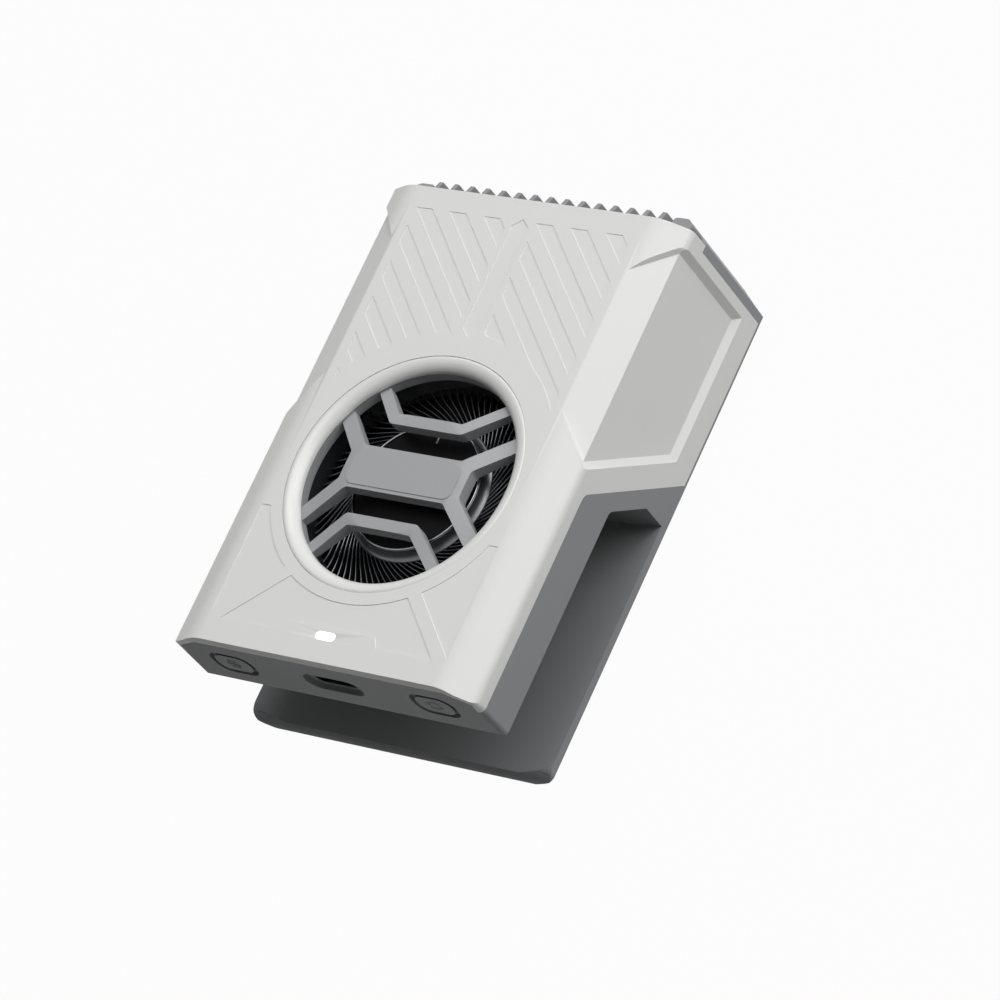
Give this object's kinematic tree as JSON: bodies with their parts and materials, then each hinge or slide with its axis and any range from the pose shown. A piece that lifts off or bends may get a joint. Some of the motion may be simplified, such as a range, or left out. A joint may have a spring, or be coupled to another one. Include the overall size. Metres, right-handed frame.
{
  "type": "phone cooling fan",
  "caption": "Clip-on phone cooler: white shell with a round fan opening, rear vent fins, a grey clip jaw that holds the phone, side buttons and a USB-C inlet.",
  "frame": {"origin": "centre of the bounding box at the rear face of the jaw plate", "axes": "+Z out of the fan opening, +Y from the port end to the vent fins, +X to the right as seen from the front"},
  "size_m": [0.063, 0.0936, 0.0323],
  "materials": {
    "white_shell": "fine satin",
    "grey_frame": "fine satin",
    "grey_grille": "satin",
    "black_impeller": "semi-gloss",
    "dark_plastic": "matt",
    "motor_steel": "plated",
    "magnet": "dull",
    "bronze": "sintered",
    "copper_wire": "lacquered",
    "board_green": "solder mask",
    "heat_sink": "extruded",
    "foam": "soft foam",
    "ceramic": "fired",
    "soft_pad": "matt silicone",
    "socket_steel": "plated",
    "lens": "clear",
    "led": "clear",
    "plunger": "natural",
    "dark_screw": "black oxide",
    "lead": "insulated",
    "ribbon": "polyimide"
  },
  "bodies": {
    "frame": {"clip_frame": "grey_frame", "front_cover": "white_shell", "fan_bezel": "white_shell", "fan_grille": "grey_grille", "vent_grille": "grey_frame", "shaft_bearing": "bronze", "stator_core": "motor_steel", "stator_windings": "copper_wire", "motor_board": "board_green", "fan_base": "dark_plastic", "air_duct": "dark_plastic", "heat_sink": "heat_sink", "fin_stack": "heat_sink", "insulation_frame": "foam", "peltier_module": "ceramic", "cold_plate": "heat_sink", "grip_pad": "soft_pad", "jaw_pad": "soft_pad", "circuit_board": "board_green", "usb_socket": "socket_steel", "usb_tongue": "dark_plastic", "cooling_switch": "dark_plastic", "mode_switch": "dark_plastic", "status_lens": "lens", "status_led": "led", "cover_screws": "dark_screw", "board_screws": "motor_steel", "fan_screws": "motor_steel", "module_leads": "lead", "fan_ribbon": "ribbon"},
    "rotor": {"impeller": "black_impeller", "rotor_cup": "motor_steel", "rotor_magnet": "magnet", "motor_shaft": "motor_steel"},
    "cooling_key": {"cooling_button": "grey_frame", "cooling_plunger": "plunger"},
    "mode_key": {"mode_button": "grey_frame", "mode_plunger": "plunger"}
  },
  "joints": [
    {"name": "fan_spin", "type": "hinge", "parent": "frame", "child": "rotor", "pos_m": [0, -0.01045, 0.0226], "axis": [0, 0, 1], "continuous": true},
    {"name": "cooling_press", "type": "slide", "parent": "frame", "child": "cooling_key", "axis": [0, 1, 0], "range_m": [0, 0.0004], "stiffness_N_per_m": 2000},
    {"name": "mode_press", "type": "slide", "parent": "frame", "child": "mode_key", "axis": [0, 1, 0], "range_m": [0, 0.0004], "stiffness_N_per_m": 2000}
  ]
}
